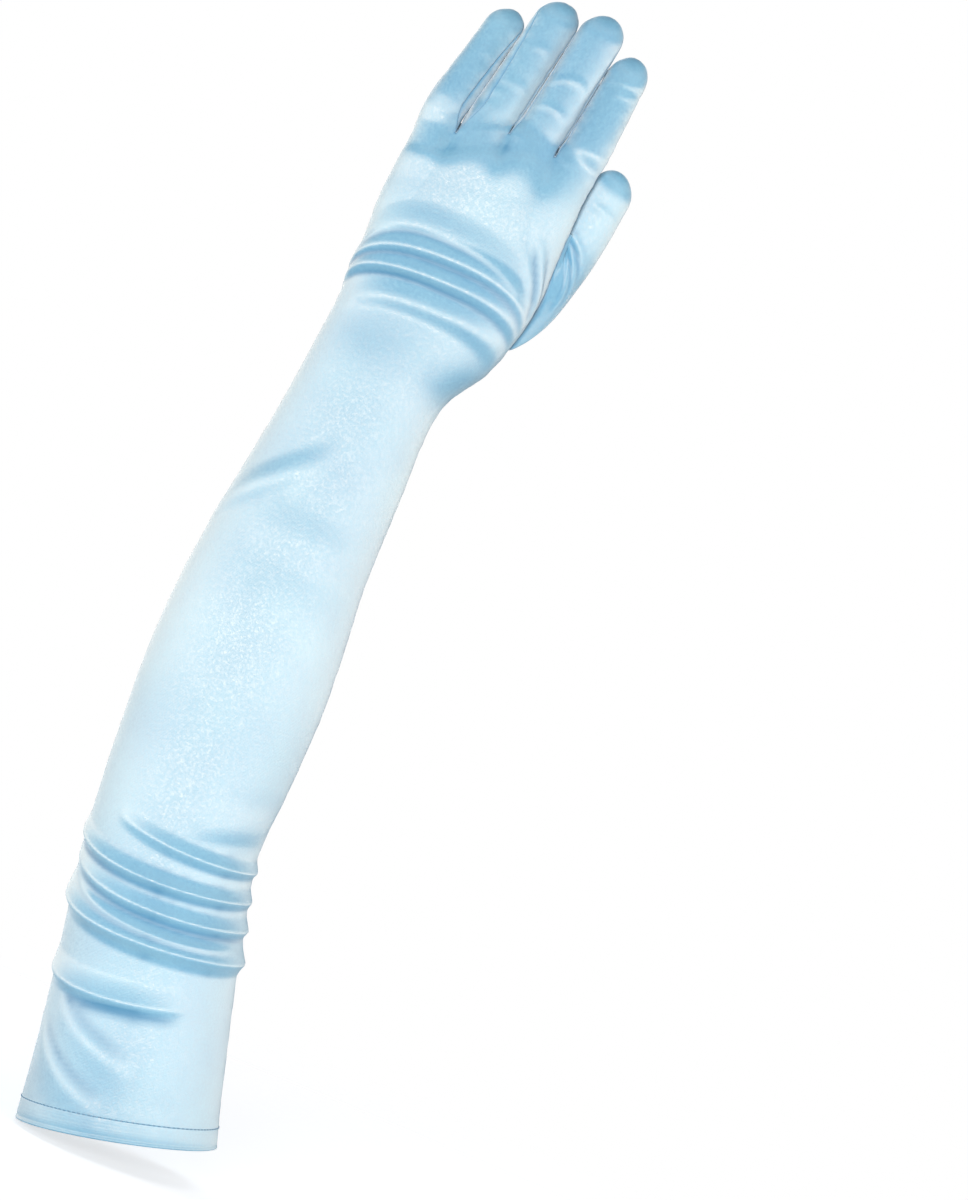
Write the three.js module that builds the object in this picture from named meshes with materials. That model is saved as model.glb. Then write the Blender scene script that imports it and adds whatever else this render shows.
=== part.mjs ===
// A long satin glove for a left hand, with its back facing -Y, its fingers along +Z and its thumb at +X.
// The glove is one skin, cut along its seams into the pieces it is sewn from, and each piece is given
// its thickness. Sizes are in millimetres, angles in degrees.
import * as THREE from "three";

// Cloth
const clothWall = 1.2;
const hemWall = 2;
const hemProud = 0.4;
const hemHeight = 9.5;
const seamGap = 0.3;

// Sleeve, from the middle of the arm opening to the wrist line
const sleeveLength = 335;
const hemWidth = 89;
const hemDepth = 84;
const elbowWidth = 78;
const elbowDepth = 78;
const forearmWidth = 82;
const forearmDepth = 72;
const wristWidth = 63;
const wristDepth = 50;
const bendOffset = 25;

// Hand, from the wrist line to the forks between the fingers
const handLength = 130;
const palmWidth = 85;
const palmDepth = 32;

// Fingers, each from the fork line to its tip
const littleLength = 57;
const ringLength = 68;
const middleLength = 69.5;
const indexLength = 57;
const littleWidth = 17.2;
const ringWidth = 19.8;
const middleWidth = 20.2;
const indexWidth = 19.4;
const fingerDroop = 7;
const forkWidth = 2;
const forkDepth = 12;

// Thumb
const thumbLength = 63;
const thumbWidth = 20.4;
const thumbDepth = 19;

// Folds pushed up in the slack cloth
const foldRise = 3.8;
const foldReach = 12;

const wristLine = sleeveLength;
const forkLine = sleeveLength + handLength;
const knuckleWidth = littleWidth + ringWidth + middleWidth + indexWidth + 3 * forkWidth;

// Each section of the arm and hand: its height as a share of the length of its part, its shift to the
// side as a share of bendOffset, its slope, its width and depth as shares of the named sizes that it
// follows, and how square it is
const hem = { width: hemWidth, depth: hemDepth };
const elbow = { width: elbowWidth, depth: elbowDepth };
const forearm = { width: forearmWidth, depth: forearmDepth };
const wrist = { width: wristWidth, depth: wristDepth };
const palm = { width: palmWidth, depth: palmDepth };
const knuckles = { width: knuckleWidth, depth: palmDepth };
const sections = [
  { part: "sleeve", at: 0.000, side: 0.00, slope: 12.6, follows: hem, width: 1.00, depth: 1.00, square: 2.0 },
  { part: "sleeve", at: 0.090, side: -0.23, slope: 11.5, follows: hem, width: 0.94, depth: 0.98, square: 2.0 },
  { part: "sleeve", at: 0.190, side: -0.50, slope: 11.0, follows: elbow, width: 1.02, depth: 1.02, square: 2.0 },
  { part: "sleeve", at: 0.290, side: -0.76, slope: 10.5, follows: elbow, width: 0.99, depth: 1.00, square: 2.0 },
  { part: "sleeve", at: 0.345, side: -0.90, slope: 8.0, follows: elbow, width: 0.97, depth: 0.99, square: 2.0 },
  { part: "sleeve", at: 0.400, side: -0.99, slope: 5.0, follows: elbow, width: 0.97, depth: 0.97, square: 2.0 },
  { part: "sleeve", at: 0.500, side: -1.00, slope: 1.0, follows: forearm, width: 0.97, depth: 1.00, square: 2.0 },
  { part: "sleeve", at: 0.610, side: -1.00, slope: 0.0, follows: forearm, width: 1.00, depth: 1.00, square: 2.0 },
  { part: "sleeve", at: 0.710, side: -1.00, slope: -1.0, follows: forearm, width: 0.96, depth: 0.94, square: 2.0 },
  { part: "sleeve", at: 0.790, side: -0.97, slope: -3.0, follows: forearm, width: 0.90, depth: 0.86, square: 2.0 },
  { part: "sleeve", at: 0.920, side: -0.82, slope: -4.0, follows: wrist, width: 1.06, depth: 1.08, square: 2.1 },
  { part: "sleeve", at: 1.000, side: -0.74, slope: -5.0, follows: wrist, width: 1.00, depth: 1.00, square: 2.1 },
  { part: "hand", at: 0.140, side: -0.63, slope: -5.0, follows: wrist, width: 1.02, depth: 0.94, square: 2.1 },
  { part: "hand", at: 0.270, side: -0.38, slope: -5.0, follows: palm, width: 0.86, depth: 1.34, square: 2.2 },
  { part: "hand", at: 0.410, side: -0.23, slope: -3.0, follows: palm, width: 0.93, depth: 1.20, square: 2.3 },
  { part: "hand", at: 0.540, side: -0.15, slope: 0.0, follows: palm, width: 0.97, depth: 1.10, square: 2.4 },
  { part: "hand", at: 0.680, side: -0.15, slope: 0.0, follows: palm, width: 0.98, depth: 1.00, square: 2.4 },
  { part: "hand", at: 0.810, side: -0.11, slope: 0.0, follows: palm, width: 0.97, depth: 0.94, square: 2.4 },
  { part: "hand", at: 0.930, side: -0.07, slope: 0.0, follows: palm, width: 0.96, depth: 0.84, square: 2.4 },
  { part: "hand", at: 1.000, side: -0.04, slope: 0.0, follows: knuckles, width: 1.00, depth: 0.76, square: 2.3 },
];

// Rows of the skin: how many lie in each band, up to a share of the length of its part
const bands = [
  { part: "sleeve", upTo: 0.235, rows: 7 },
  { part: "sleeve", upTo: 0.400, rows: 14 },
  { part: "sleeve", upTo: 0.790, rows: 6 },
  { part: "sleeve", upTo: 0.920, rows: 5 },
  { part: "sleeve", upTo: 1.000, rows: 2 },
  { part: "hand", upTo: 0.370, rows: 4 },
  { part: "hand", upTo: 0.650, rows: 10 },
  { part: "hand", upTo: 0.800, rows: 3 },
  { part: "hand", upTo: 1.000, rows: 4 },
];
const hemRows = 2;

// The thumb's opening, next to the seam at the thumb side
const thumbOpening = { part: "hand", from: 0.370, to: 0.800 };

// Folds: where each crest starts, turns and ends, as an angle round the arm (0 at the thumb side, -90 at
// the middle of the back, -180 at the little finger's side, 90 at the middle of the palm) and a share of
// the length of its part; its height as a share of foldRise; its reach to the upper and the lower side as
// shares of foldReach
const folds = [
  { part: "sleeve", turns: [-78, -52, -22], at: [0.415, 0.424, 0.430], rise: 0.35, upper: 1.0, lower: 0.7 },
  { part: "sleeve", turns: [-128, -79, 4], at: [0.398, 0.372, 0.370], rise: 0.75, upper: 1.0, lower: 0.55 },
  { part: "sleeve", turns: [-176, -100, 24], at: [0.376, 0.331, 0.328], rise: 1.0, upper: 1.1, lower: 0.5 },
  { part: "sleeve", turns: [-172, -88, 30], at: [0.348, 0.292, 0.290], rise: 1.1, upper: 1.0, lower: 0.5 },
  { part: "sleeve", turns: [-188, -88, 14], at: [0.302, 0.250, 0.240], rise: 1.2, upper: 1.2, lower: 0.5 },
  { part: "sleeve", turns: [-172, -113, -66], at: [0.200, 0.176, 0.189], rise: 0.8, upper: 1.3, lower: 0.8 },
  { part: "sleeve", turns: [-164, -129, -106], at: [0.124, 0.068, 0.040], rise: 0.5, upper: 1.2, lower: 0.9 },
  { part: "sleeve", turns: [-134, -108, -84], at: [0.148, 0.123, 0.100], rise: 0.45, upper: 1.1, lower: 0.9 },
  { part: "sleeve", turns: [18, 80, 150], at: [0.345, 0.322, 0.350], rise: 0.8, upper: 1.2, lower: 0.7 },
  { part: "sleeve", turns: [22, 95, 165], at: [0.292, 0.272, 0.300], rise: 0.8, upper: 1.2, lower: 0.7 },
  { part: "sleeve", turns: [8, 70, 140], at: [0.236, 0.228, 0.240], rise: 0.6, upper: 1.2, lower: 0.8 },
  { part: "sleeve", turns: [-156, -130, -98], at: [0.815, 0.857, 0.910], rise: 0.6, upper: 1.0, lower: 0.8 },
  { part: "sleeve", turns: [-116, -80, -34], at: [0.803, 0.808, 0.806], rise: 0.4, upper: 1.2, lower: 0.8 },
  { part: "hand", turns: [-152, -97, -66], at: [0.500, 0.632, 0.590], rise: 0.5, upper: 1.2, lower: 0.6 },
  { part: "hand", turns: [-140, -92, -22], at: [0.455, 0.560, 0.450], rise: 0.9, upper: 0.8, lower: 0.5 },
  { part: "hand", turns: [-140, -96, -24], at: [0.415, 0.485, 0.410], rise: 0.9, upper: 0.7, lower: 0.5 },
  { part: "hand", turns: [-118, -78, -22], at: [0.390, 0.430, 0.345], rise: 0.8, upper: 0.6, lower: 0.6 },
  { part: "hand", turns: [-172, -117, -60], at: [0.850, 0.880, 0.950], rise: 0.35, upper: 0.7, lower: 0.7 },
  { part: "hand", turns: [40, 95, 150], at: [0.330, 0.300, 0.340], rise: 0.7, upper: 1.0, lower: 0.8 },
  { part: "hand", turns: [60, 100, 140], at: [0.180, 0.160, 0.190], rise: 0.6, upper: 1.0, lower: 0.8 },
];

// Fingers, from the little one on: how far the tip lies to the thumb's side as a share of the length, how
// far it lies to the palm's side as a share of fingerDroop, and its width at the tip as a share of its own
const fingers = [
  { name: "little", lean: 0.233, droop: 1.1, narrows: 0.96, length: littleLength, width: littleWidth },
  { name: "ring", lean: 0.195, droop: 0.9, narrows: 0.96, length: ringLength, width: ringWidth },
  { name: "middle", lean: 0.168, droop: 0.8, narrows: 0.96, length: middleLength, width: middleWidth },
  { name: "index", lean: 0.120, droop: 1.0, narrows: 0.88, length: indexLength, width: indexWidth },
];

// Forks between neighbouring fingers: the height of each above the fork line as a share of forkDepth
const forks = [
  { after: "little", height: -0.34 },
  { after: "ring", height: 0.33 },
  { after: "middle", height: 0.17 },
];

// Finger rows as shares of its length, and half the angle that the side strip takes in each row
const fingerRows = [
  { at: 0.09, strip: 34 },
  { at: 0.22, strip: 33 },
  { at: 0.38, strip: 31 },
  { at: 0.55, strip: 28 },
  { at: 0.71, strip: 24 },
  { at: 0.84, strip: 18 },
  { at: 0.93, strip: 9 },
  { at: 0.98, strip: 0 },
  { at: 1.00, strip: 0 },
];

// Thumb sections from its opening to the tip: the height of each middle as a share of thumbLength above
// the opening's middle, its distances from the hand's side and to the palm as shares of thumbWidth, its
// width and depth as shares of the thumb's, how far it still follows the edge of the opening, and how far
// it has turned from the slope of the base to that of the tip
const thumbSections = [
  { at: 0.12, side: 0.18, palmward: 0.58, width: 1.36, depth: 1.14, follows: 0.68, turned: 0.00 },
  { at: 0.28, side: 0.20, palmward: 0.61, width: 1.16, depth: 1.05, follows: 0.24, turned: 0.26 },
  { at: 0.44, side: 0.32, palmward: 0.60, width: 1.02, depth: 1.00, follows: 0.00, turned: 0.74 },
  { at: 0.60, side: 0.40, palmward: 0.59, width: 1.00, depth: 1.00, follows: 0.00, turned: 1.00 },
  { at: 0.75, side: 0.47, palmward: 0.58, width: 0.98, depth: 0.97, follows: 0.00, turned: 1.00 },
  { at: 0.88, side: 0.54, palmward: 0.57, width: 0.90, depth: 0.88, follows: 0.00, turned: 1.00 },
  { at: 0.96, side: 0.57, palmward: 0.56, width: 0.62, depth: 0.62, follows: 0.00, turned: 1.00 },
  { at: 1.00, side: 0.58, palmward: 0.56, width: 0.00, depth: 0.00, follows: 0.00, turned: 1.00 },
];

// Slope of the thumb's rings at its base and at its tip, and the way it leaves its opening
const thumbBaseSlope = 48;
const thumbTipSlope = 14;
const thumbReach = new THREE.Vector3(0.62, 0.42, 0.66).normalize();

// Form of each finger: where its tip starts to round as a share of its width, how late it droops, its
// flatness at the root and at the tip, and the share of its lean that its rings turn with
const tipRound = 0.52;
const droopBend = 1.6;
const rootFlatness = 1.0;
const tipFlatness = 0.85;
const ringTurn = 0.5;

// Form of the knuckles: the height from which columns leave their even spread for the fingers, and from
// which the forks sink in, as shares of the hand, and how far they and the last row sink
const spreadFrom = 0.50;
const spreadTo = 0.93;
const sinkFrom = 0.75;
const forkSink = 0.62;
const sinkBend = 3;
const lastRowSink = 0.96;
const thumbSideDrop = 0.2;

// Form of a fold: how blunt its ends are and how sharp its crest is
const foldEnds = 0.7;
const foldCrest = 1.2;

// Quads across each finger on the back and on the palm
const backQuads = 4;
const palmQuads = 3;

const radians = THREE.MathUtils.degToRad;
const mix = THREE.MathUtils.lerp;
const smooth = THREE.MathUtils.smoothstep;

function heightOf(part, share) {
  return part === "sleeve" ? share * sleeveLength : wristLine + share * handLength;
}

const stations = sections.map((row) => ({
  height: heightOf(row.part, row.at),
  side: row.side * bendOffset,
  slope: row.slope,
  halfWidth: row.follows.width * row.width / 2,
  halfDepth: row.follows.depth * row.depth / 2,
  square: row.square,
}));

// Curve through the stations' values, smooth from one to the next
function sectionAt(height) {
  const last = stations.length - 1;
  let lower = 0;
  while (lower < last - 1 && height > stations[lower + 1].height) lower += 1;
  const before = stations[Math.max(lower - 1, 0)];
  const start = stations[lower];
  const end = stations[lower + 1];
  const after = stations[Math.min(lower + 2, last)];
  const span = end.height - start.height;
  const share = (height - start.height) / span;
  const section = {};
  for (const key of ["side", "slope", "halfWidth", "halfDepth", "square"]) {
    const startTilt = (end[key] - before[key]) / (end.height - before.height) * span;
    const endTilt = (after[key] - start[key]) / (after.height - start.height) * span;
    const square = share * share;
    const cube = square * share;
    section[key] = (2 * cube - 3 * square + 1) * start[key] + (cube - 2 * square + share) * startTilt
      + (3 * square - 2 * cube) * end[key] + (cube - square) * endTilt;
  }
  return section;
}

function rounded(value, square) {
  return Math.sign(value) * Math.abs(value) ** (2 / square);
}

// Curve through three values at three places
function through(places, values, place) {
  const [a, b, c] = places;
  return values[0] * (place - b) * (place - c) / ((a - b) * (a - c))
    + values[1] * (place - a) * (place - c) / ((b - a) * (b - c))
    + values[2] * (place - a) * (place - b) / ((c - a) * (c - b));
}

const crests = folds.map((fold) => ({
  turns: fold.turns,
  heights: fold.at.map((share) => heightOf(fold.part, share)),
  rise: fold.rise * foldRise,
  upper: fold.upper * foldReach,
  lower: fold.lower * foldReach,
}));

// Height of the folds at a place on the skin: a slow slope above each crest and a steep one below it
function foldsAt(turn, height) {
  let total = 0;
  for (const { turns, heights, rise, upper, lower } of crests) {
    for (const place of [turn, turn - 360]) {
      const share = (place - turns[0]) / (turns[2] - turns[0]);
      if (share <= 0 || share >= 1) continue;
      const offset = height - through(turns, heights, place);
      const reach = offset > 0 ? upper : lower;
      const fall = Math.abs(offset) / reach;
      if (fall < 1) total += rise * Math.sin(Math.PI * share) ** foldEnds * (1 - fall) ** foldCrest;
    }
  }
  return total;
}

// A place on the arm or hand: turn is 0 at the thumb side, negative over the back, positive over the palm
function armPoint(turn, height, raise = 0) {
  const section = sectionAt(height);
  const fold = foldsAt(turn, height);
  const across = rounded(Math.cos(radians(turn)), section.square) * (section.halfWidth + fold);
  const out = rounded(Math.sin(radians(turn)), section.square) * (section.halfDepth + fold);
  const slope = radians(section.slope);
  return new THREE.Vector3(
    section.side + across * Math.cos(slope),
    out,
    height + across * Math.sin(slope) + raise,
  );
}

// Where the middle of each finger lies across the fork line
let fingerEdge = sectionAt(forkLine).side - knuckleWidth / 2;
const fingerRoots = fingers.map(({ width }) => {
  const middle = fingerEdge + width / 2;
  fingerEdge += width + forkWidth;
  return middle;
});

// The middle, half width and half depth of a finger at a share of its length
function fingerSection(index, at) {
  const { lean, droop, narrows, length, width } = fingers[index];
  const round = 1 - width * tipRound / length;
  const cap = at > round ? Math.sqrt(Math.max(0, 1 - ((at - round) / (1 - round)) ** 2)) : 1;
  const halfWidth = width / 2 * mix(1, narrows, at) * cap;
  return {
    x: fingerRoots[index] + lean * length * at,
    y: droop * fingerDroop * at ** droopBend,
    z: forkLine + at * length,
    halfWidth,
    halfDepth: halfWidth * mix(rootFlatness, tipFlatness, at),
  };
}

// A place on a finger: swing is 0 at the little finger's side, 90 at the back and 180 at the thumb side
function fingerPoint(index, at, swing, side) {
  const section = fingerSection(index, at);
  const lean = Math.atan(fingers[index].lean);
  const across = -Math.cos(radians(swing)) * section.halfWidth;
  return new THREE.Vector3(
    section.x + across * Math.cos(lean),
    section.y + side * Math.sin(radians(swing)) * section.halfDepth,
    section.z - across * Math.sin(lean) * ringTurn,
  );
}

// Swings of the columns of a finger's strip, which leaves room for side strips next to other fingers
function swingsOf(index, strip, quads) {
  const first = index === 0 ? 0 : strip;
  const last = index === fingers.length - 1 ? 180 : 180 - strip;
  return Array.from({ length: quads + 1 }, (_, column) => mix(first, last, column / quads));
}

// Turns of the columns at the fork line, spread evenly between the seams and the forks
function forkTurns(quads) {
  const section = sectionAt(forkLine);
  const turnAt = (across) => {
    const share = (across - section.side) / section.halfWidth;
    return THREE.MathUtils.radToDeg(Math.acos(Math.sign(share) * Math.abs(share) ** (section.square / 2)));
  };
  return fingers.flatMap((_, index) => {
    const halfWidth = fingers[index].width / 2;
    const first = index === 0 ? 180 : turnAt(fingerRoots[index] - halfWidth);
    const last = index === forks.length ? 0 : turnAt(fingerRoots[index] + halfWidth);
    return Array.from({ length: quads + 1 }, (_, column) => mix(first, last, column / quads));
  });
}

// Height of the skin's last row over the fork line, from fork to fork
function forkRaise(column, quads) {
  const perFinger = quads + 1;
  const index = Math.floor(column / perFinger);
  const share = (column % perFinger) / quads;
  const before = index > 0 ? forks[index - 1].height : forks[0].height;
  const after = index < forks.length ? forks[index].height : forks[forks.length - 1].height - thumbSideDrop;
  return mix(before, after, share) * forkDepth;
}

function isFork(column, quads) {
  const place = column % (quads + 1);
  const index = Math.floor(column / (quads + 1));
  return (place === 0 && index > 0) || (place === quads && index < fingers.length - 1);
}

const rowHeights = [];
for (let row = 0; row <= hemRows; row += 1) rowHeights.push(hemHeight * row / hemRows);
for (const band of bands) {
  const from = rowHeights[rowHeights.length - 1];
  const to = heightOf(band.part, band.upTo);
  for (let row = 1; row <= band.rows; row += 1) rowHeights.push(mix(from, to, row / band.rows));
}
const lastRow = rowHeights.length - 1;

function nearestRow(height) {
  const distances = rowHeights.map((other) => Math.abs(other - height));
  return distances.indexOf(Math.min(...distances));
}

// One half of the sleeve and hand, as rows of points from the little finger's seam to the thumb's seam;
// side is -1 over the back and 1 over the palm
function armHalf(side, quads) {
  const atForks = forkTurns(quads);
  const columns = atForks.length;
  return rowHeights.map((height, row) => {
    const intoHand = smooth(height, heightOf("hand", spreadFrom), heightOf("hand", spreadTo));
    const nearForks = smooth(height, heightOf("hand", sinkFrom), forkLine);
    return atForks.map((forkTurn, column) => {
      const turn = mix(180 * (1 - column / (columns - 1)), forkTurn, intoHand);
      const point = armPoint(side * turn, height, forkRaise(column, quads) * nearForks);
      if (isFork(column, quads)) point.y *= mix(1, forkSink, nearForks ** sinkBend);
      if (row === lastRow) point.y *= lastRowSink;
      return point;
    });
  });
}

// The skin: welded points and triangles, each with the name of the piece it belongs to
const points = [];
const known = new Map();
const faces = [];

function weld(point) {
  const key = point.toArray().map((value) => Math.round(value * 1e4)).join(" ");
  if (!known.has(key)) {
    known.set(key, points.length);
    points.push(point.clone());
  }
  return known.get(key);
}

function addTriangle(piece, a, b, c) {
  const corners = [weld(a), weld(b), weld(c)];
  if (new Set(corners).size === 3) faces.push({ piece, corners });
}

// Quads between two rows of points; outward is +1 where the rows' order turns the faces outwards
function addStrip(piece, lower, upper, outward) {
  for (let column = 0; column < lower.length - 1; column += 1) {
    const [a, b] = [lower[column], lower[column + 1]];
    const [c, d] = [upper[column + 1], upper[column]];
    if (outward > 0) {
      addTriangle(piece, a, b, c);
      addTriangle(piece, a, c, d);
    } else {
      addTriangle(piece, a, c, b);
      addTriangle(piece, a, d, c);
    }
  }
}

const back = armHalf(-1, backQuads);
const front = armHalf(1, palmQuads);
const openFrom = nearestRow(heightOf(thumbOpening.part, thumbOpening.from));
const openTo = nearestRow(heightOf(thumbOpening.part, thumbOpening.to));
const seamColumn = front[0].length - 1;
const openColumn = seamColumn - palmQuads;

for (let row = 0; row < lastRow; row += 1) {
  const inHem = row < hemRows;
  const open = row >= openFrom && row < openTo;
  const width = open ? openColumn + 1 : front[row].length;
  addStrip(inHem ? "hem_band" : "back_panel", back[row], back[row + 1], 1);
  addStrip(inHem ? "hem_band" : "palm_panel", front[row].slice(0, width), front[row + 1].slice(0, width), -1);
}

// Rows of one finger's strip, starting from its share of the hand's last row
function fingerStrip(index, side, quads, half) {
  const first = index * (quads + 1);
  const rows = [half[lastRow].slice(first, first + quads + 1)];
  for (const { at, strip } of fingerRows) {
    const swings = swingsOf(index, strip, quads);
    rows.push(swings.map((swing) => fingerPoint(index, at, swing, side)));
  }
  return rows;
}

const backStrips = fingers.map((_, index) => fingerStrip(index, -1, backQuads, back));
const palmStrips = fingers.map((_, index) => fingerStrip(index, 1, palmQuads, front));
for (const [strips, piece, outward] of [[backStrips, "back_panel", 1], [palmStrips, "palm_panel", -1]]) {
  for (const rows of strips) {
    for (let row = 0; row < rows.length - 1; row += 1) addStrip(piece, rows[row], rows[row + 1], outward);
  }
}

// Side strip rows on one finger: from the back strip's edge over the finger's side to the palm strip's
function sideRows(index, atThumbSide) {
  return backStrips[index].map((row, number) => {
    const top = atThumbSide ? row[row.length - 1] : row[0];
    const palmRow = palmStrips[index][number];
    const bottom = atThumbSide ? palmRow[palmRow.length - 1] : palmRow[0];
    let middle = top.clone().lerp(bottom, 0.5);
    if (number > 0) {
      const { at, strip } = fingerRows[number - 1];
      if (strip > 0) middle = fingerPoint(index, at, atThumbSide ? 180 : 0, 1);
    }
    return [top, middle, bottom];
  });
}

const fourchetteNames = forks.map((fork, index) => `fourchette_${fork.after}_${fingers[index + 1].name}`);
fourchetteNames.forEach((piece, index) => {
  const down = sideRows(index, true).reverse();
  const up = sideRows(index + 1, false);
  const rows = [...down, ...up];
  for (let row = 0; row < rows.length - 1; row += 1) addStrip(piece, rows[row], rows[row + 1], -1);
});

// The thumb: a tube from the edge of its opening to its tip
const opening = [];
for (let row = openFrom; row < openTo; row += 1) opening.push(front[row][seamColumn]);
for (let column = seamColumn; column > openColumn; column -= 1) opening.push(front[openTo][column]);
for (let row = openTo; row > openFrom; row -= 1) opening.push(front[row][openColumn]);
for (let column = openColumn; column < seamColumn; column += 1) opening.push(front[openFrom][column]);

const openMiddle = opening.reduce((sum, point) => sum.add(point), new THREE.Vector3());
openMiddle.divideScalar(opening.length);
const backward = new THREE.Vector3(0, -1, 0);

function sloping(slope) {
  return new THREE.Vector3(Math.cos(radians(slope)), 0, -Math.sin(radians(slope)));
}

const baseAcross = sloping(thumbBaseSlope);
const openSection = sectionAt(openMiddle.z);
const openAngles = opening.map((point) => {
  const arm = point.clone().sub(openMiddle);
  return Math.atan2(arm.dot(backward) / thumbDepth, arm.dot(baseAcross) / thumbWidth);
});

const thumbRings = thumbSections.map((row) => {
  const across = sloping(mix(thumbBaseSlope, thumbTipSlope, row.turned));
  const middle = new THREE.Vector3(
    openSection.side + openSection.halfWidth + row.side * thumbWidth,
    row.palmward * thumbWidth,
    openMiddle.z + row.at * thumbLength,
  );
  return openAngles.map((angle, place) => {
    const even = openAngles[0] + 2 * Math.PI * place / opening.length;
    const spread = mix(unwrapped(angle, even), even, row.turned);
    const carried = opening[place].clone().addScaledVector(thumbReach, row.at * thumbLength);
    return middle.clone()
      .addScaledVector(across, Math.cos(spread) * row.width * thumbWidth / 2)
      .addScaledVector(backward, Math.sin(spread) * row.depth * thumbDepth / 2)
      .lerp(carried, row.follows);
  });
});

// The same angle, within half a turn of another
function unwrapped(angle, near) {
  return angle + 2 * Math.PI * Math.round((near - angle) / (2 * Math.PI));
}

let ring = opening;
for (const next of thumbRings) {
  addStrip("thumb", [...ring, ring[0]], [...next, next[0]], -1);
  ring = next;
}

// Outward direction of the skin at each point
const outwards = points.map(() => new THREE.Vector3());
for (const { corners } of faces) {
  const [a, b, c] = corners.map((corner) => points[corner]);
  const turn = b.clone().sub(a).cross(c.clone().sub(a));
  for (const corner of corners) outwards[corner].add(turn);
}
for (const direction of outwards) direction.normalize();

function edgeKey(a, b) {
  return a < b ? `${a} ${b}` : `${b} ${a}`;
}

const edgeUses = new Map();
for (const { corners } of faces) {
  corners.forEach((corner, place) => {
    const key = edgeKey(corner, corners[(place + 1) % 3]);
    edgeUses.set(key, (edgeUses.get(key) || 0) + 1);
  });
}

// One piece of the skin with its thickness, drawn back from its seams by half the gap
function thicken(piece, wall, proud) {
  const own = faces.filter((face) => face.piece === piece);
  const uses = new Map();
  const inward = new Map();
  for (const { corners } of own) {
    const middle = corners.reduce((sum, corner) => sum.add(points[corner]), new THREE.Vector3());
    middle.divideScalar(3);
    corners.forEach((corner, place) => {
      const next = corners[(place + 1) % 3];
      const key = edgeKey(corner, next);
      uses.set(key, [...(uses.get(key) || []), [corner, next]]);
      if (!inward.has(corner)) inward.set(corner, new THREE.Vector3());
      inward.get(corner).add(middle.clone().sub(points[corner]));
    });
  }
  const rim = [...uses.values()].filter((list) => list.length === 1).map((list) => list[0]);
  const tangents = new Map();
  const onSeam = new Set();
  for (const [from, to] of rim) {
    const along = points[to].clone().sub(points[from]).normalize();
    for (const corner of [from, to]) {
      if (!tangents.has(corner)) tangents.set(corner, new THREE.Vector3());
      tangents.get(corner).add(along);
      if (edgeUses.get(edgeKey(from, to)) > 1) onSeam.add(corner);
    }
  }

  const corners = [...inward.keys()];
  const numbers = new Map(corners.map((corner, number) => [corner, number]));
  const outer = corners.map((corner) => {
    const place = points[corner].clone();
    if (onSeam.has(corner)) {
      const tangent = tangents.get(corner).normalize();
      const pull = inward.get(corner);
      pull.addScaledVector(outwards[corner], -pull.dot(outwards[corner]));
      pull.addScaledVector(tangent, -pull.dot(tangent));
      place.addScaledVector(pull.normalize(), seamGap / 2);
    }
    return place.addScaledVector(outwards[corner], proud);
  });
  const inner = outer.map((place, number) => place.clone().addScaledVector(outwards[corners[number]], -wall));
  const count = outer.length;
  const index = [];
  for (const face of own) {
    const [a, b, c] = face.corners.map((corner) => numbers.get(corner));
    index.push(a, b, c, a + count, c + count, b + count);
  }
  for (const [from, to] of rim) {
    const [a, b] = [numbers.get(from), numbers.get(to)];
    if (from < to) index.push(a, a + count, b + count, a, b + count, b);
    else index.push(b, a, a + count, b, a + count, b + count);
  }
  const geometry = new THREE.BufferGeometry();
  const places = [...outer, ...inner].flatMap((place) => place.toArray());
  geometry.setAttribute("position", new THREE.Float32BufferAttribute(places, 3));
  geometry.setIndex(index);
  geometry.computeVertexNormals();
  return geometry;
}

const satin = { color: 0xa0cde8, roughness: 0.34, metalness: 0 };
const pieces = [
  { name: "back_panel", wall: clothWall, proud: 0 },
  { name: "palm_panel", wall: clothWall, proud: 0 },
  { name: "thumb", wall: clothWall, proud: 0 },
  ...fourchetteNames.map((name) => ({ name, wall: clothWall, proud: 0 })),
  { name: "hem_band", wall: hemWall, proud: hemProud },
];

const glove = new THREE.Group();
for (const { name, wall, proud } of pieces) {
  const mesh = new THREE.Mesh(thicken(name, wall, proud), new THREE.MeshStandardMaterial(satin));
  mesh.name = name;
  glove.add(mesh);
}

export default glove;
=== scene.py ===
# %% [markdown]
# # A long satin dress glove
#
# This is a left-hand glove of pale blue stretch satin that reaches above the elbow. It is sewn from a back
# and a palm panel, a thumb, three narrow fourchettes between the fingers and a turned hem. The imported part
# gives the frame and each piece's place. Here every piece is laid again as fine cloth, with its folds,
# sewn seams, wrinkles and satin.

# %% Load the frame
import math
from collections import Counter

import bpy
from mathutils import Matrix, Vector, noise
from mathutils.kdtree import KDTree


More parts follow.
